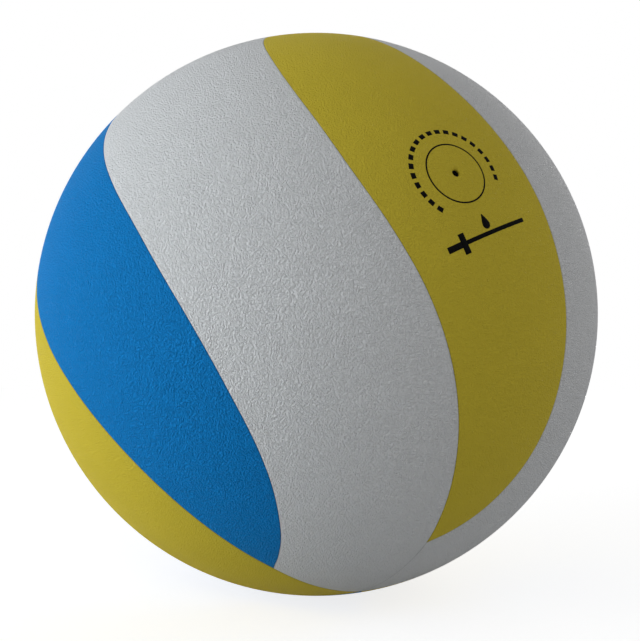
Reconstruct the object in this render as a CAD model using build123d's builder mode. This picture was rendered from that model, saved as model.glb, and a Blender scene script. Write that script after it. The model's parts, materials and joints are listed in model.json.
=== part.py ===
# A moulded indoor volleyball: ten glued cover panels on foam, over a rubber carcass, a wound
# thread layer and a butyl bladder with its needle valve. Millimetres and degrees.
# The origin is the middle of the ball, +Z is up and -Y is the side that faces the viewer.
import os
from math import pi

from build123d import *

# Ball
circumference = 660.0
ball_radius = circumference / (2 * pi)

# Wall, from the outside in
skin_thickness = 1.0
foam_thickness = 2.5
carcass_thickness = 0.5
winding_thickness = 0.4
bladder_thickness = 0.6
glue_line = 0.1  # clearance between one layer and the next
seam_gap = 0.3  # clearance between two neighbouring panels
cut_overrun = 2.0  # how far every cut runs past what it cuts

# Needle valve, on the axis through the middle of the valve panel
needle_hole_radius = 1.15  # through the panel, the neck's lip and down into the core
neck_radius = 5.0
neck_clearance = 0.1
flange_radius = 16.0
flange_thickness = 1.2
barrel_radius = 6.5
barrel_length = 12.0  # below the flange
lip_height = 1.5  # what holds the core in at the top of the neck
core_radius = 3.0
core_rib_radius = 4.0
core_rib_height = 2.0
core_rib_depth = 8.0  # from the top of the core to its rib
core_clearance = 0.05
channel_depth = 10.0  # of the needle hole in the core
slit_width = 0.1
slit_length = 3.0

# Balance patch, opposite the valve
patch_radius = 19.0
patch_thickness = 2.0

# Panel layout. The panels repeat about an axis that is square to the valve.
panel_pairs = 5
valve_azimuth = 25.3  # from the front towards +X
valve_elevation = 23.4
axis_roll = -1.4  # of the panel axis, about the valve
blank_pole_longitude = -60.0

# One seam as (latitude, longitude) about the panel axis, counted from the middle of a short panel.
# It starts at one pole and ends on the next seam, short of the other pole.
seam_stations = (
    (-90.0, 6.5),
    (-78.0, 6.5),
    (-66.6, 6.3),
    (-60.0, 4.8),
    (-50.0, 2.4),
    (-40.0, -0.3),
    (-30.0, -3.7),
    (-20.0, -7.9),
    (-10.0, -12.8),
    (0.0, -17.6),
    (10.0, -21.5),
    (20.0, -24.9),
    (30.0, -27.4),
    (40.0, -28.9),
    (48.0, -28.3),
    (55.0, -25.3),
    (60.0, -20.8),
    (64.0, -13.9),
    (66.6, -6.3),
)

# Radii of the layers
skin_inner_radius = ball_radius - skin_thickness
foam_outer_radius = skin_inner_radius - glue_line
foam_inner_radius = foam_outer_radius - foam_thickness
carcass_outer_radius = foam_inner_radius - glue_line
carcass_inner_radius = carcass_outer_radius - carcass_thickness
winding_outer_radius = carcass_inner_radius - glue_line
winding_inner_radius = winding_outer_radius - winding_thickness
bladder_outer_radius = winding_inner_radius - glue_line
bladder_inner_radius = bladder_outer_radius - bladder_thickness
lining_radius = bladder_inner_radius - glue_line  # of what is bonded inside the bladder

# Directions: the layout plane has the valve on its x axis and the panel axis on its z axis
valve_direction = Vector(0, -1, 0).rotate(Axis.X, -valve_elevation).rotate(Axis.Z, valve_azimuth)
axis_direction = Vector(0, 0, 1).rotate(Axis.X, -valve_elevation).rotate(Axis.Z, valve_azimuth)
axis_direction = axis_direction.rotate(Axis((0, 0, 0), valve_direction), axis_roll)
layout = Plane((0, 0, 0), x_dir=valve_direction, z_dir=axis_direction)
valve_plane = Plane((0, 0, 0), x_dir=axis_direction, z_dir=valve_direction)
patch_plane = Plane((0, 0, 0), x_dir=axis_direction, z_dir=-valve_direction)
panel_axis = Axis((0, 0, 0), axis_direction)
pair_angle = 360 / panel_pairs

# Heights along the valve's axis, from the middle of the ball
neck_top = (skin_inner_radius**2 - neck_radius**2) ** 0.5 - glue_line
flange_bottom = lining_radius - flange_thickness
barrel_bottom = flange_bottom - barrel_length
core_top = neck_top - lip_height
rib_top = core_top - core_rib_depth
channel_bottom = core_top - channel_depth

os.makedirs("parts", exist_ok=True)


def layout_point(radius, latitude, longitude):
    point = Vector(radius, 0, 0).rotate(Axis.Y, -latitude).rotate(Axis.Z, longitude)
    return layout.from_local_coords(point)


def seam_rail(radius, turn, side, shift):
    # One long edge of a seam cut, shifted sideways from the middle line of the seam
    middle = [layout_point(ball_radius, side * lat, side * lon + turn) for lat, lon in seam_stations]
    points = []
    for behind, point, ahead in zip([middle[0]] + middle, middle, middle[1:] + [middle[-1]]):
        sideways = point.cross(ahead - behind).normalized()
        points.append((point + sideways * shift) * (radius / ball_radius))
    with BuildLine() as rail:
        Spline(*points)
    return rail.edge()


def seam_cut(turn, side):
    # A thin wall that stands on the seam and points at the middle of the ball
    low_radius = foam_inner_radius - cut_overrun
    high_radius = ball_radius + cut_overrun
    corners = ((low_radius, 1), (high_radius, 1), (high_radius, -1), (low_radius, -1))
    rails = [seam_rail(radius, turn, side, hand * seam_gap / 2) for radius, hand in corners]
    walls = [Face.make_surface_from_curves(rails[i - 1], rails[i]) for i in range(len(rails))]
    ends = [Face(Wire.make_polygon([rail @ end for rail in rails])) for end in (0, 1)]
    return Solid(Shell(walls + ends))


def save(piece, name):
    piece.part.label = name
    export_step(piece.part, f"parts/{name}.step")


# One short and one long panel lie between the seams of two neighbouring pairs. The poles of the
# blank that they are cut from, and the line that closes it, are on the far side.
seam_cuts = [seam_cut(pair * pair_angle, side) for pair in (0, 1) for side in (-1, 1)]
blank_pole = layout_point(1, 0, blank_pole_longitude)
blank_plane = Plane((0, 0, 0), x_dir=blank_pole.rotate(panel_axis, -90), z_dir=blank_pole)

with BuildPart() as cover:
    with Locations(blank_plane):
        Sphere(ball_radius)
        Sphere(skin_inner_radius, mode=Mode.SUBTRACT)
    for cut in seam_cuts:
        add(cut, clean=False, mode=Mode.SUBTRACT)

with BuildPart() as backing:
    with Locations(blank_plane):
        Sphere(foam_outer_radius)
        Sphere(foam_inner_radius, mode=Mode.SUBTRACT)
    for cut in seam_cuts:
        add(cut, clean=False, mode=Mode.SUBTRACT)

# All the panels and their foam, turned about the panel axis
for kind, half_steps in (("short", 0), ("long", 1)):
    middle = layout_point(foam_outer_radius, 0, half_steps * pair_angle / 2)
    skin_blank = cover.solids().sort_by_distance(middle)[0]
    foam_blank = backing.solids().sort_by_distance(middle)[0]

    for pair in range(panel_pairs):
        has_valve = kind == "short" and pair == 0

        with BuildPart() as panel:
            add(skin_blank.rotate(panel_axis, pair * pair_angle))
            if has_valve:
                with BuildSketch(valve_plane):
                    Circle(needle_hole_radius)
                extrude(amount=ball_radius + cut_overrun, mode=Mode.SUBTRACT)
        save(panel, f"{kind}_panel_{pair + 1}")

        with BuildPart() as foam:
            add(foam_blank.rotate(panel_axis, pair * pair_angle))
            if has_valve:
                with BuildSketch(valve_plane):
                    Circle(neck_radius + neck_clearance)
                extrude(amount=ball_radius + cut_overrun, mode=Mode.SUBTRACT)
        save(foam, f"{kind}_foam_{pair + 1}")

# Round layers under the panels, open only where the valve's neck passes
round_layers = (
    ("rubber_carcass", carcass_outer_radius, carcass_inner_radius),
    ("thread_winding", winding_outer_radius, winding_inner_radius),
    ("bladder", bladder_outer_radius, bladder_inner_radius),
)
for layer_name, outer_radius, inner_radius in round_layers:
    with BuildPart() as layer:
        Sphere(outer_radius)
        Sphere(inner_radius, mode=Mode.SUBTRACT)
        with BuildSketch(valve_plane):
            Circle(neck_radius + neck_clearance)
        extrude(amount=ball_radius + cut_overrun, mode=Mode.SUBTRACT)
    save(layer, layer_name)

# Valve housing: a curved flange bonded inside the bladder, a barrel below it and a neck up to the skin
with BuildPart() as valve_housing:
    Sphere(lining_radius)
    Sphere(flange_bottom, mode=Mode.SUBTRACT)
    with BuildSketch(valve_plane):
        Circle(flange_radius)
    extrude(amount=ball_radius, mode=Mode.INTERSECT)
    with BuildSketch(valve_plane.offset(barrel_bottom)):
        Circle(barrel_radius)
    extrude(amount=barrel_length + flange_thickness / 2)
    with BuildSketch(valve_plane.offset(barrel_bottom)):
        Circle(neck_radius)
    extrude(amount=neck_top - barrel_bottom)
    with BuildSketch(valve_plane.offset(core_top)):
        Circle(core_radius + core_clearance)
    extrude(amount=barrel_bottom - core_top - cut_overrun, mode=Mode.SUBTRACT)
    with BuildSketch(valve_plane.offset(rib_top + core_clearance)):
        Circle(core_rib_radius + core_clearance)
    extrude(amount=-core_rib_height - 2 * core_clearance, mode=Mode.SUBTRACT)
    with BuildSketch(valve_plane.offset(core_top)):
        Circle(needle_hole_radius)
    extrude(amount=lip_height + cut_overrun, mode=Mode.SUBTRACT)
save(valve_housing, "valve_housing")

# Valve core: a ribbed plug with a blind needle channel that a slit carries on through
with BuildPart() as valve_core:
    with BuildSketch(valve_plane.offset(barrel_bottom)):
        Circle(core_radius)
    extrude(amount=core_top - barrel_bottom)
    with BuildSketch(valve_plane.offset(rib_top)):
        Circle(core_rib_radius)
    extrude(amount=-core_rib_height)
    with BuildSketch(valve_plane.offset(channel_bottom)):
        Circle(needle_hole_radius)
    extrude(amount=channel_depth, mode=Mode.SUBTRACT)
    with BuildSketch(valve_plane.offset(channel_bottom)):
        Rectangle(slit_length, slit_width)
    extrude(amount=barrel_bottom - channel_bottom - cut_overrun, mode=Mode.SUBTRACT)
save(valve_core, "valve_core")

# Balance patch, bonded inside the bladder
with BuildPart() as balance_patch:
    Sphere(lining_radius)
    Sphere(lining_radius - patch_thickness, mode=Mode.SUBTRACT)
    with BuildSketch(patch_plane):
        Circle(patch_radius)
    extrude(amount=ball_radius, mode=Mode.INTERSECT)
save(balance_patch, "balance_patch")
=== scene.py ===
import bpy
import bmesh
import json
from math import asin, cos, pi, radians, sin, sqrt, tan
from mathutils import Matrix, Vector


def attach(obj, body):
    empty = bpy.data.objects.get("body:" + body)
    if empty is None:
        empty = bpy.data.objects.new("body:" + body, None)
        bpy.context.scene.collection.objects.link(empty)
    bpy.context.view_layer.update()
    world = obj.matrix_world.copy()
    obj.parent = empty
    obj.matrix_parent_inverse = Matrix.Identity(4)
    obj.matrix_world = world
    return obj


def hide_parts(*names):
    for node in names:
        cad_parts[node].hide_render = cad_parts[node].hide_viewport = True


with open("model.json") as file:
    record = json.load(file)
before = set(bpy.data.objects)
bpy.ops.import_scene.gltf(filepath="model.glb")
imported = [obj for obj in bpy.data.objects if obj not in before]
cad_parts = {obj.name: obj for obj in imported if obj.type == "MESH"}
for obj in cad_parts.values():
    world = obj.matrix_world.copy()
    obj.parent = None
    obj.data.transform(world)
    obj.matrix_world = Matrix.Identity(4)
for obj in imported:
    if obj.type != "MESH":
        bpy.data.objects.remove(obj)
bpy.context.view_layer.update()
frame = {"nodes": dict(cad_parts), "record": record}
nodes = frame["nodes"]
print("frame loaded:", len(nodes), "nodes")

mm = 0.001


# the ball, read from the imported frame
def radii(node):
    lengths = [v.co.length for v in nodes[node].data.vertices]
    return min(lengths), max(lengths)


needleMount = next(m for m in frame["record"]["mounts"] if m["name"] == "needle_hole")
skinInner, ballRadius = radii("long_panel_5")
ball = {
    "radius": ballRadius,
    "skinInner": skinInner,
    "pairs": 5,
    "axisRoll": radians(-1.4),  # of the panel axis about the valve
    "valve": Vector(needleMount["axis"]).normalized(),
}


# layout axes: x at the valve, z at the upper pole where five panels meet
def layoutAxes():
    toValve = ball["valve"]
    upright = (Vector((0, 0, 1)) - toValve * toValve.z).normalized()
    axis = Matrix.Rotation(ball["axisRoll"], 3, toValve) @ upright
    return toValve, axis.cross(toValve).normalized(), axis


toValve, toEast, toPole = layoutAxes()


def onBall(lat, lon, radius):
    flat = toValve * cos(lon) + toEast * sin(lon)
    return (flat * cos(lat) + toPole * sin(lat)) * radius


# the seam between two panels, latitude and longitude from the middle of a short panel
seam = {
    "stations": (
        (-90.0, 6.5), (-78.0, 6.5), (-66.6, 6.3), (-60.0, 4.8), (-50.0, 2.4), (-40.0, -0.3),
        (-30.0, -3.7), (-20.0, -7.9), (-10.0, -12.8), (0.0, -17.6), (10.0, -21.5), (20.0, -24.9),
        (30.0, -27.4), (40.0, -28.9), (48.0, -28.3), (55.0, -25.3), (60.0, -20.8), (64.0, -13.9),
        (66.6, -6.3),
    ),
    "gap": 0.06 * mm,
    "rollWidth": 0.4 * mm,  # how far in from its edge a panel starts to turn down
    "rollDepth": 0.14 * mm,
    "clearOfSeamShade": 5.0,  # mm from an edge, where no painted shade of a seam reaches
}
tipLat = radians(seam["stations"][-1][0])


def seamLon(lat):
    # smooth curve through the stations
    stations = seam["stations"]
    degree = lat * 180 / pi
    last = len(stations) - 1
    i = max(k for k in range(last) if k == 0 or stations[k][0] <= degree)
    points = [stations[min(max(i + k, 0), last)] for k in (-1, 0, 1, 2)]
    (a0, b0), (a1, b1), (a2, b2), (a3, b3) = points
    span = a2 - a1
    t = (degree - a1) / span
    slopeIn = (b2 - b0) / (a2 - a0) * span
    slopeOut = (b3 - b1) / (a3 - a1) * span
    bend = (2 * t**3 - 3 * t**2 + 1) * b1 + (t**3 - 2 * t**2 + t) * slopeIn
    return radians(bend + (3 * t**2 - 2 * t**3) * b2 + (t**3 - t**2) * slopeOut)


def panelEdges(kind, lat):
    # left and right edge of a panel at one latitude, from its own middle
    if kind == "short":
        return seamLon(lat), -seamLon(-lat)
    half = pi / ball["pairs"]
    left = -seamLon(-lat) if lat >= -tipLat else seamLon(lat)
    right = seamLon(lat) if lat <= tipLat else -seamLon(-lat)
    return left - half, right + half


# cover panels
panel = {
    "rowStep": radians(0.75),
    "shortColumns": 30,  # between the rolled edges
    "longColumns": 40,
    "edgeSteps": [d * mm for d in (0, 0.06, 0.14, 0.25, 0.4, 0.6, 1.0)],
    "shortTip": radians(0.13),  # how far the tips stay back from where the seams meet
    "longTip": radians(0.07),
    "slantStep": radians(0.2),  # over which an edge's slant is taken
    "merge": 0.004 * mm,  # closes the tips
}
valveHole = {
    "clear": 3.0 * mm,  # panel mesh is opened this far and filled with rings
    "reach": 9.0 * mm,  # the opening's outline lies within this
    # radius and drop in mm
    "rings": ((2.5, 0.0), (2.1, 0.02), (1.75, 0.08), (1.5, 0.18), (1.3, 0.34), (1.17, 0.6)),
    "segments": 48,
}


def panelRows(kind):
    step = panel["rowStep"]
    if kind == "short":
        reach = tipLat - panel["shortTip"]
        count = round(2 * reach / step)
        return [-reach + 2 * reach * i / count for i in range(count + 1)]
    top = pi / 2 - panel["longTip"]
    capCount = round((top - tipLat) / step)
    middleCount = round(2 * tipLat / step)
    cap = [top - (top - tipLat) * i / capCount for i in range(capCount)]
    middle = [-tipLat + 2 * tipLat * i / middleCount for i in range(middleCount + 1)]
    return [-lat for lat in cap] + middle + cap[::-1]


def edgeSlant(kind, lat, side):
    # cosine of the angle between an edge and its meridian
    reach = tipLat - panel["shortTip"] if kind == "short" else pi / 2 - panel["longTip"]
    low = max(lat - panel["slantStep"], -reach)
    high = min(lat + panel["slantStep"], reach)
    slope = (panelEdges(kind, high)[side] - panelEdges(kind, low)[side]) / (high - low)
    return 1 / sqrt(1 + (slope * cos(lat)) ** 2)


def rollDrop(distance):
    share = max(0.0, 1 - distance / seam["rollWidth"])
    return seam["rollDepth"] * (1 - sqrt(1 - share**2))


def layPanel(kind, middleLon):
    rows = panelRows(kind)
    steps = panel["edgeSteps"]
    inner = panel[kind + "Columns"]
    columns = 2 * len(steps) + inner
    bm = bmesh.new()
    bmesh.ops.create_grid(bm, x_segments=columns - 1, y_segments=len(rows) - 1, size=0.5)
    edgeLayer = bm.verts.layers.float.new("edge")
    places = []
    for lat in rows:
        left, right = panelEdges(kind, lat)
        ring = ball["radius"] * cos(lat)
        slants = [edgeSlant(kind, lat, side) for side in (0, 1)]
        left += seam["gap"] / 2 / ring / slants[0]
        right -= seam["gap"] / 2 / ring / slants[1]
        width = max(0.0, (right - left) * ring)
        fit = min(1.0, width / 3 / steps[-1])  # each edge takes a third of a narrow row
        near = [d * fit for d in steps]
        span = width - 2 * near[-1]
        across = near + [near[-1] + span * (i + 1) / (inner + 1) for i in range(inner)]
        across += [width - d for d in near[::-1]]
        places.append((lat, left if width else (left + right) / 2, ring, slants, width, across))
    for v in bm.verts:
        column = round((v.co.x + 0.5) * (columns - 1))
        lat, left, ring, slants, width, across = places[round((v.co.y + 0.5) * (len(rows) - 1))]
        toEdge = min(across[column] * slants[0], (width - across[column]) * slants[1])
        lon = middleLon + left + across[column] / ring
        v.co = onBall(lat, lon, ball["radius"] - rollDrop(toEdge))
        v[edgeLayer] = toEdge / mm
    bmesh.ops.remove_doubles(bm, verts=bm.verts[:], dist=panel["merge"])
    return bm


def openValve(bm):
    # needle hole with a soft dimple, as rings let into the panel
    def fromAxis(point):
        return (point - toValve * point.dot(toValve)).length
    front = [f for f in bm.faces if f.calc_center_median().dot(toValve) > 0]
    gone = [f for f in front if min(fromAxis(v.co) for v in f.verts) < valveHole["clear"]]
    bmesh.ops.delete(bm, geom=gone, context="FACES")
    outline = [e for e in bm.edges if e.is_boundary and fromAxis(e.verts[0].co) < valveHole["reach"]
               and e.verts[0].co.dot(toValve) > 0]
    turn = Matrix((toEast, toPole, toValve)).transposed()
    edgeLayer = bm.verts.layers.float["edge"]
    for ringRadius, drop in valveHole["rings"]:
        made = bmesh.ops.create_circle(bm, segments=valveHole["segments"], radius=ringRadius * mm)
        height = sqrt(ball["radius"] ** 2 - (ringRadius * mm) ** 2) - drop * mm
        for v in made["verts"]:
            v.co = turn @ (v.co + Vector((0, 0, height)))
            v[edgeLayer] = seam["clearOfSeamShade"]
        ring = list(dict.fromkeys(e for v in made["verts"] for e in v.link_edges))
        bmesh.ops.bridge_loops(bm, edges=outline + ring)
        outline = ring


def thicken(bm, innerRadius):
    made = bmesh.ops.extrude_face_region(bm, geom=bm.faces[:], use_keep_orig=True)
    for v in [g for g in made["geom"] if isinstance(g, bmesh.types.BMVert)]:
        v.co = v.co.normalized() * innerRadius
    bmesh.ops.recalc_face_normals(bm, faces=bm.faces[:])


def finishPiece(bm, name, material):
    for face in bm.faces:
        face.smooth = True
    mesh = bpy.data.meshes.new(name)
    bm.to_mesh(mesh)
    bm.free()
    piece = bpy.data.objects.new(name, mesh)
    bpy.context.scene.collection.objects.link(piece)
    mesh.materials.append(material)
    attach(piece, "root")
    return piece


# node helpers
def addNode(tree, kind, x, y, **settings):
    node = tree.nodes.new(kind)
    node.location = (x, y)
    for key, value in settings.items():
        setattr(node, key, value)
    return node


def setInputs(node, **values):
    for key, value in values.items():
        node.inputs[key.replace("_", " ")].default_value = value
    return node


def mathNode(tree, operation, x, y, first, second=None):
    node = addNode(tree, "ShaderNodeMath", x, y, operation=operation)
    for socket, value in zip(node.inputs, (first, second)):
        if value is None:
            continue
        if isinstance(value, (int, float)):
            socket.default_value = value
        else:
            tree.links.new(value, socket)
    return node.outputs[0]


def mapRange(tree, x, y, value, source, target=(0.0, 1.0), curve="LINEAR"):
    node = addNode(tree, "ShaderNodeMapRange", x, y, interpolation_type=curve)
    setInputs(node, From_Min=source[0], From_Max=source[1], To_Min=target[0], To_Max=target[1])
    tree.links.new(value, node.inputs["Value"])
    return node.outputs["Result"]


def noiseNode(tree, x, y, place, **values):
    node = addNode(tree, "ShaderNodeTexNoise", x, y, noise_dimensions="3D")
    tree.links.new(place, node.inputs["Vector"])
    return setInputs(node, **values)


def shadedColour(tree, x, y, colour, shade):
    node = addNode(tree, "ShaderNodeVectorMath", x, y, operation="SCALE")
    node.inputs[0].default_value = colour
    tree.links.new(shade, node.inputs["Scale"])
    return node.outputs[0]


def bumpNormal(tree, x, y, height, strength, distance):
    node = addNode(tree, "ShaderNodeBump", x, y)
    setInputs(node, Strength=strength, Distance=distance)
    tree.links.new(height, node.inputs["Height"])
    return node.outputs["Normal"]


def mixShaders(tree, x, y, share, first, second):
    node = addNode(tree, "ShaderNodeMixShader", x, y)
    for socket, source in zip(node.inputs, (share, first, second)):
        tree.links.new(source, socket)
    return node.outputs[0]


# fine wrinkled grain of the coated cloth, shared by the three colours and the print
grain = {
    "scale": 1650.0,  # cells per metre
    "warp": {"Scale": 700.0, "Detail": 2.0},
    "warpReach": 0.9 * mm,
    "cellSoftness": 0.3,
    "folds": {"Detail": 1.5, "Roughness": 0.55, "Distortion": 0.3},
    "foldScale": 0.75,  # of the cells' scale
    "foldWidth": 0.13,
    "foldHeight": 0.55,
    "patches": {"Scale": 35.0, "Detail": 3.0},
    "patchRange": (0.3, 0.7),
    "patchDepth": (0.8, 1.0),
    "patchTone": (0.96, 1.03),
}


def grainGroup():
    group = bpy.data.node_groups.new("wrinkleGrain", "ShaderNodeTree")
    face = group.interface
    face.new_socket("Vector", in_out="INPUT", socket_type="NodeSocketVector")
    face.new_socket("Scale", in_out="INPUT", socket_type="NodeSocketFloat")
    face.new_socket("Height", in_out="OUTPUT", socket_type="NodeSocketFloat")
    face.new_socket("Tone", in_out="OUTPUT", socket_type="NodeSocketFloat")
    entry = addNode(group, "NodeGroupInput", -900, 0)
    leave = addNode(group, "NodeGroupOutput", 700, 0)
    place, scale = entry.outputs["Vector"], entry.outputs["Scale"]
    links = group.links

    # domes on cells that are pushed out of true
    warp = noiseNode(group, -700, 200, place, **grain["warp"])
    shift = addNode(group, "ShaderNodeVectorMath", -500, 200, operation="MULTIPLY_ADD")
    shift.inputs[1].default_value = [grain["warpReach"]] * 3
    links.new(warp.outputs["Color"], shift.inputs[0])
    links.new(place, shift.inputs[2])
    cells = addNode(group, "ShaderNodeTexVoronoi", -300, 200, feature="SMOOTH_F1")
    setInputs(cells, Smoothness=grain["cellSoftness"])
    links.new(shift.outputs[0], cells.inputs["Vector"])
    links.new(scale, cells.inputs["Scale"])
    domes = mathNode(group, "SUBTRACT", -80, 200, 1.0, cells.outputs["Distance"])

    # folds that wander between the domes
    folds = noiseNode(group, -500, -150, place, **grain["folds"])
    foldScale = mathNode(group, "MULTIPLY", -700, -150, scale, grain["foldScale"])
    links.new(foldScale, folds.inputs["Scale"])
    offMiddle = mathNode(group, "SUBTRACT", -300, -150, folds.outputs["Fac"], 0.5)
    fold = mathNode(group, "ABSOLUTE", -150, -150, offMiddle)
    crease = mapRange(group, 20, -150, fold, (0.0, grain["foldWidth"]), curve="SMOOTHSTEP")
    ridges = mathNode(group, "MULTIPLY", 120, -100, crease, grain["foldHeight"])
    height = mathNode(group, "ADD", 200, 60, domes, ridges)

    # patches where the grain is flatter and the colour a little off
    patches = noiseNode(group, -300, -450, place, **grain["patches"])
    depth = mapRange(group, 120, -250, patches.outputs["Fac"], grain["patchRange"], grain["patchDepth"])
    tone = mapRange(group, 120, -500, patches.outputs["Fac"], grain["patchRange"], grain["patchTone"])
    links.new(mathNode(group, "MULTIPLY", 400, 60, height, depth), leave.inputs["Height"])
    links.new(tone, leave.inputs["Tone"])
    return group


wrinkleGrain = grainGroup()

coverFinishes = {
    "whiteLeather": {"colour": (0.865, 0.875, 0.885), "relief": 0.43 * mm, "rough": 0.62, "shine": 0.08},
    "yellowLeather": {"colour": (0.69, 0.545, 0.046), "relief": 0.22 * mm, "rough": 0.62, "shine": 0.08},
    "blueLeather": {"colour": (0.004, 0.25, 0.69), "relief": 0.5 * mm, "rough": 0.62, "shine": 0.08},
    "printInk": {"colour": (0.006, 0.006, 0.006), "relief": 0.15 * mm, "rough": 0.65, "shine": 0.02},
}
# painted shade in the seams: the cover's colour is darkened towards each panel's edge; the rest sets the
# grain's roughness and bump
coverSeamShadeAndGrain = {
    "seamShadeReach": (0.0, 0.3),  # mm in from a panel's edge, over which the painted seam shade fades out
    "seamShadeTone": (0.78, 1.0),
    "grainHeights": (0.6, 1.4),  # valley and dome
    "valleyRough": 0.1,  # added to a finish's own
    "domeRough": -0.06,
    "bump": 1.0,
}


def makeFinish(name):
    look = coverFinishes[name]
    material = bpy.data.materials.new(name)
    material.use_nodes = True
    tree = material.node_tree
    links = tree.links
    shader = tree.nodes["Principled BSDF"]
    setInputs(shader, Specular_IOR_Level=look["shine"])
    coords = addNode(tree, "ShaderNodeTexCoord", -1200, 0)
    wrinkles = addNode(tree, "ShaderNodeGroup", -950, -100, node_tree=wrinkleGrain)
    setInputs(wrinkles, Scale=grain["scale"])
    links.new(coords.outputs["Object"], wrinkles.inputs["Vector"])
    height = wrinkles.outputs["Height"]
    # painted shade: the colour is darkened near a panel's edge, standing in for shade in the seam between
    # panels
    edge = addNode(tree, "ShaderNodeAttribute", -950, 300, attribute_name="edge")
    seamShade = mapRange(tree, -700, 300, edge.outputs["Fac"], coverSeamShadeAndGrain["seamShadeReach"], coverSeamShadeAndGrain["seamShadeTone"])
    shade = mathNode(tree, "MULTIPLY", -450, 200, seamShade, wrinkles.outputs["Tone"])
    links.new(shadedColour(tree, -250, 200, look["colour"], shade), shader.inputs["Base Color"])
    roughs = [look["rough"] + coverSeamShadeAndGrain[key] for key in ("valleyRough", "domeRough")]
    gloss = mapRange(tree, -450, -50, height, coverSeamShadeAndGrain["grainHeights"], roughs)
    links.new(gloss, shader.inputs["Roughness"])
    normal = bumpNormal(tree, -250, -250, height, coverSeamShadeAndGrain["bump"], look["relief"])
    links.new(normal, shader.inputs["Normal"])
    return material


# what lies under the cover
innerLooks = {
    "foam": {"colour": (0.78, 0.76, 0.68), "scale": 900.0, "relief": 0.08 * mm, "rough": 0.9},
    "carcass_rubber": {"colour": (0.16, 0.12, 0.08), "scale": 400.0, "relief": 0.03 * mm, "rough": 0.7},
    "nylon_thread": {"colour": (0.72, 0.68, 0.56), "scale": 700.0, "relief": 0.1 * mm, "rough": 0.65},
    "butyl_rubber": {"colour": (0.025, 0.025, 0.027), "scale": 300.0, "relief": 0.02 * mm, "rough": 0.5},
    "valve_rubber": {"colour": (0.012, 0.012, 0.013), "scale": 600.0, "relief": 0.02 * mm, "rough": 0.55},
}
innerSpeckle = {"detail": 3.0, "tone": (0.8, 1.15), "bump": 0.8}


def makeInner(slot):
    look = innerLooks[slot]
    material = bpy.data.materials.new(slot)
    material.use_nodes = True
    tree = material.node_tree
    shader = tree.nodes["Principled BSDF"]
    setInputs(shader, Roughness=look["rough"])
    place = addNode(tree, "ShaderNodeTexCoord", -900, 0).outputs["Object"]
    noise = noiseNode(tree, -700, 0, place, Scale=look["scale"], Detail=innerSpeckle["detail"])
    speckle = noise.outputs["Fac"]
    tone = mapRange(tree, -450, 150, speckle, (0.0, 1.0), innerSpeckle["tone"])
    colour = shadedColour(tree, -250, 150, look["colour"], tone)
    tree.links.new(colour, shader.inputs["Base Color"])
    normal = bumpNormal(tree, -250, -200, speckle, innerSpeckle["bump"], look["relief"])
    tree.links.new(normal, shader.inputs["Normal"])
    return material


# prints round the valve, in mm east and up from the needle hole
prints = {
    "proud": 0.02 * mm,
    "sunk": 0.03 * mm,
    "step": 1.2,
    "merge": 0.01 * mm,
    "innerRing": {"radius": 9.9, "width": 0.5},
    "dashRing": {
        "radius": 14.7, "height": 1.5, "width": 1.9, "count": 20,
        "first": radians(-2), "last": radians(234),
    },
    "needle": {"start": (-6.8, -24.8), "end": (22.8, -12.3), "stem": 6.1, "stemWidth": 1.9, "width": 1.28},
    "collar": {"width": 2.1, "length": 6.2},
    "drop": {
        "middle": (7.3, -15.9), "radius": 1.45, "tip": 3.3, "segments": 32,
        "lean": radians(115), "pinch": 0.55, "taper": 0.35,
    },
}


def printPoint(x, y):
    flat = toEast * (x * mm) + toPole * (y * mm)
    return flat + toValve * sqrt((ball["radius"] + prints["proud"]) ** 2 - flat.length_squared)


def printBar(bm, start, end, width):
    # a straight bar, divided so that it follows the ball
    run = Vector(end) - Vector(start)
    count = max(2, round(run.length / prints["step"]))
    across = Vector((-run.y, run.x)).normalized() * width
    made = bmesh.ops.create_grid(bm, x_segments=count, y_segments=2, size=0.5)
    for v in made["verts"]:
        spot = Vector(start) + run * (v.co.x + 0.5) + across * v.co.y
        v.co = printPoint(spot.x, spot.y)


def printArc(bm, radius, height, first, last):
    count = max(3, round(radius * (last - first) / prints["step"]))
    made = bmesh.ops.create_grid(bm, x_segments=count, y_segments=2, size=0.5)
    for v in made["verts"]:
        turn = first + (last - first) * (v.co.x + 0.5)
        reach = radius + height * v.co.y
        v.co = printPoint(reach * cos(turn), reach * sin(turn))


def printDrop(bm):
    drop = prints["drop"]
    made = bmesh.ops.create_circle(bm, cap_ends=True, cap_tris=True, segments=drop["segments"], radius=1.0)
    lean = drop["lean"]
    for v in made["verts"]:
        # the upper half draws out to a point
        up = max(0.0, v.co.y)
        x = v.co.x * (1 - drop["pinch"] * up**2) * drop["radius"] * (1 - up * drop["taper"])
        y = v.co.y * (drop["tip"] if v.co.y > 0 else drop["radius"])
        spot = Vector((y * cos(lean) + x * sin(lean), y * sin(lean) - x * cos(lean)))
        spot += Vector(drop["middle"])
        v.co = printPoint(spot.x, spot.y)


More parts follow.
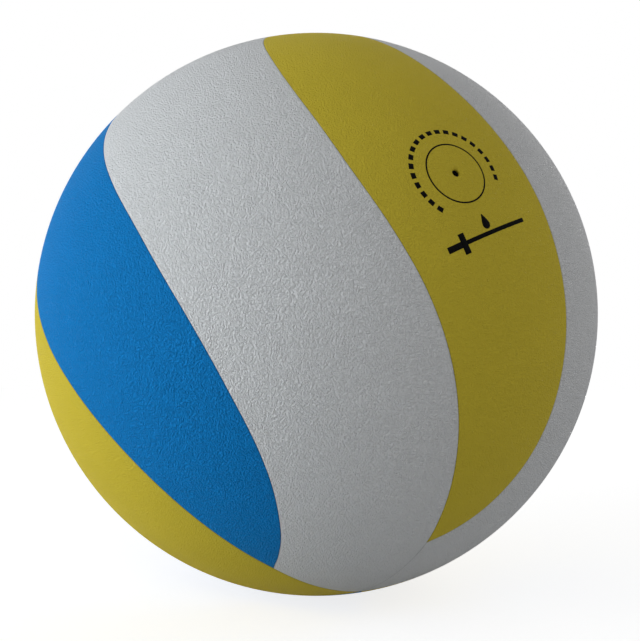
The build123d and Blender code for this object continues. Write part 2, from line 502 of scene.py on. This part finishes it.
def layPrints(material):
    bm = bmesh.new()
    ring = prints["innerRing"]
    printArc(bm, ring["radius"], ring["width"], 0.0, 2 * pi)
    bmesh.ops.remove_doubles(bm, verts=bm.verts[:], dist=prints["merge"])
    dash = prints["dashRing"]
    spacing = (dash["last"] - dash["first"]) / (dash["count"] - 1)
    for i in range(dash["count"]):
        first = dash["first"] + spacing * i
        printArc(bm, dash["radius"], dash["height"], first, first + dash["width"] / dash["radius"])
    needle = prints["needle"]
    start, end = Vector(needle["start"]), Vector(needle["end"])
    along = (end - start).normalized()
    joint = start + along * needle["stem"]
    across = Vector((-along.y, along.x)) * prints["collar"]["length"] / 2
    half = along * prints["collar"]["width"] / 2
    printBar(bm, start, joint - half, needle["stemWidth"])
    printBar(bm, joint - across, joint + across, prints["collar"]["width"])
    printBar(bm, joint + half, end, needle["width"])
    printDrop(bm)
    edgeLayer = bm.verts.layers.float.new("edge")
    for v in bm.verts:
        v[edgeLayer] = seam["clearOfSeamShade"]
    thicken(bm, ball["radius"] - prints["sunk"])
    piece = finishPiece(bm, "valvePrints", material)


coverColours = {
    "short": ("yellow", "blue", "white", "white", "blue"),
    "long": ("white", "yellow", "blue", "yellow", "white"),
}
finishes = {name: makeFinish(name) for name in coverFinishes}
print("cover finishes made")

for kind, colours in coverColours.items():
    for number, colour in enumerate(colours):
        middleLon = (number + (kind == "long") / 2) * 2 * pi / ball["pairs"]
        bm = layPanel(kind, middleLon)
        node = kind + "_panel_" + str(number + 1)
        if node == "short_panel_1":
            openValve(bm)
        thicken(bm, ball["skinInner"])
        piece = finishPiece(bm, kind + "Panel" + str(number + 1), finishes[colour + "Leather"])
        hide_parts(node)
    print(kind, "panels laid")

layPrints(finishes["printInk"])
print("prints laid")

innerMaterials = {slot: makeInner(slot) for slot in innerLooks}
for entry in frame["record"]["subparts"]:
    if entry["material_slot"] in innerMaterials:
        slots = nodes[entry["node"]].data.materials
        slots.clear()
        slots.append(innerMaterials[entry["material_slot"]])
print("inner layers finished")

# floor and studio light
floorLook = {
    "size": 12.0,
    "bounce": 0.62,  # what it sends back to the ball
    "lit": 0.4,  # what is seen of it takes the shadow on a lit part, and glows besides
    "glow": 0.8,
    "fade": (0.25, 1.0),  # metres from the ball, over which it turns plain white
}
studio = {
    "ambient": 0.31,
    "key": {"place": (-0.85, -0.31, 0.04), "size": 0.8, "power": 7.6, "colour": (0.92, 0.97, 1.0)},
    "fill": {"place": (0.9, -0.52, 0.6), "size": 1.0, "power": 1.3, "colour": (1.0, 1.0, 1.0)},
    "back": {"place": (0.35, 1.2, 0.35), "size": 1.0, "power": 4.4, "colour": (1.0, 1.0, 1.0)},
}


def seenDirectly(tree, x, y):
    # 1 for what the camera, a reflection or a clear material sees
    rays = addNode(tree, "ShaderNodeLightPath", x, y).outputs
    first = mathNode(tree, "MAXIMUM", x + 200, y, rays["Is Camera Ray"], rays["Is Glossy Ray"])
    return mathNode(tree, "MAXIMUM", x + 400, y, first, rays["Is Transmission Ray"])


def makeFloor():
    bm = bmesh.new()
    bmesh.ops.create_grid(bm, x_segments=1, y_segments=1, size=floorLook["size"])
    bmesh.ops.translate(bm, verts=bm.verts[:], vec=(0, 0, -ball["radius"]))
    mesh = bpy.data.meshes.new("floor")
    bm.to_mesh(mesh)
    bm.free()
    floor = bpy.data.objects.new("floor", mesh)
    bpy.context.scene.collection.objects.link(floor)
    material = bpy.data.materials.new("paleFloor")
    material.use_nodes = True
    tree = material.node_tree
    links = tree.links
    tree.nodes.remove(tree.nodes["Principled BSDF"])
    bounce = addNode(tree, "ShaderNodeBsdfDiffuse", -400, 200)
    lit = addNode(tree, "ShaderNodeBsdfDiffuse", -400, 0)
    for node, tone in ((bounce, floorLook["bounce"]), (lit, floorLook["lit"])):
        setInputs(node, Color=(tone, tone, tone, 1))
    glow = setInputs(addNode(tree, "ShaderNodeEmission", -400, -200), Strength=floorLook["glow"])
    near = addNode(tree, "ShaderNodeAddShader", -200, -100)
    links.new(lit.outputs[0], near.inputs[0])
    links.new(glow.outputs[0], near.inputs[1])
    far = setInputs(addNode(tree, "ShaderNodeEmission", -200, -300), Strength=1.0)
    coords = addNode(tree, "ShaderNodeTexCoord", -1000, -400)
    reach = addNode(tree, "ShaderNodeVectorMath", -800, -400, operation="LENGTH")
    links.new(coords.outputs["Object"], reach.inputs[0])
    fade = mapRange(tree, -600, -400, reach.outputs["Value"], floorLook["fade"], curve="SMOOTHSTEP")
    seen = mixShaders(tree, 0, -150, fade, near.outputs[0], far.outputs[0])
    above = mixShaders(tree, 200, 0, seenDirectly(tree, -900, 400), bounce.outputs[0], seen)
    # seen from below, the floor is clear
    side = addNode(tree, "ShaderNodeNewGeometry", 200, 300)
    below = addNode(tree, "ShaderNodeBsdfTransparent", 200, -200)
    surface = mixShaders(tree, 400, 0, side.outputs["Backfacing"], above, below.outputs[0])
    links.new(surface, tree.nodes["Material Output"].inputs["Surface"])
    mesh.materials.append(material)


def makeWorld():
    world = bpy.data.worlds.new("studio")
    bpy.context.scene.world = world
    world.use_nodes = True
    tree = world.node_tree
    ambient = tree.nodes["Background"]
    setInputs(ambient, Color=(1, 1, 1, 1), Strength=studio["ambient"])
    white = addNode(tree, "ShaderNodeBackground", 0, -200)
    setInputs(white, Color=(1, 1, 1, 1), Strength=1.0)
    seen = seenDirectly(tree, -600, 200)
    surface = mixShaders(tree, 250, 0, seen, ambient.outputs[0], white.outputs[0])
    tree.links.new(surface, tree.nodes["World Output"].inputs["Surface"])


def makeLamp(name):
    look = studio[name]
    lamp = bpy.data.lights.new(name + "Lamp", "AREA")
    lamp.shape = "DISK"
    lamp.size = look["size"]
    lamp.energy = look["power"]
    lamp.color = look["colour"]
    holder = bpy.data.objects.new(name + "Lamp", lamp)
    place = Vector(look["place"])
    holder.location = place
    holder.rotation_euler = (-place).to_track_quat("-Z", "Y").to_euler()
    bpy.context.scene.collection.objects.link(holder)


makeFloor()
makeWorld()
for lampName in ("key", "fill", "back"):
    makeLamp(lampName)
print("studio set")

# camera: distance and framing as the photograph has them
view = {
    "distance": 3.336 * ball["radius"],
    "imageHeight": 641,
    "imageWidth": 640,
    "ballPixel": (316.3, 314.3),
    "ballPixelRadius": 281.6,
    "sensor": 36.0,
    "clipStart": 0.01,
}


def makeCamera():
    camera = bpy.data.cameras.new("camera")
    halfAngle = asin(ball["radius"] / view["distance"])
    focalPixels = view["ballPixelRadius"] / tan(halfAngle)
    camera.sensor_width = view["sensor"]
    camera.lens = view["sensor"] * focalPixels / view["imageHeight"]
    camera.shift_x = (view["imageWidth"] / 2 - view["ballPixel"][0]) / view["imageHeight"]
    camera.shift_y = -(view["imageHeight"] / 2 - view["ballPixel"][1]) / view["imageHeight"]
    camera.clip_start = view["clipStart"]
    holder = bpy.data.objects.new("camera", camera)
    holder.location = (0, -view["distance"], 0)
    holder.rotation_euler = (pi / 2, 0, 0)
    bpy.context.scene.collection.objects.link(holder)
    bpy.context.scene.camera = holder


makeCamera()
bpy.context.scene.view_settings.view_transform = "Standard"
print("camera set")
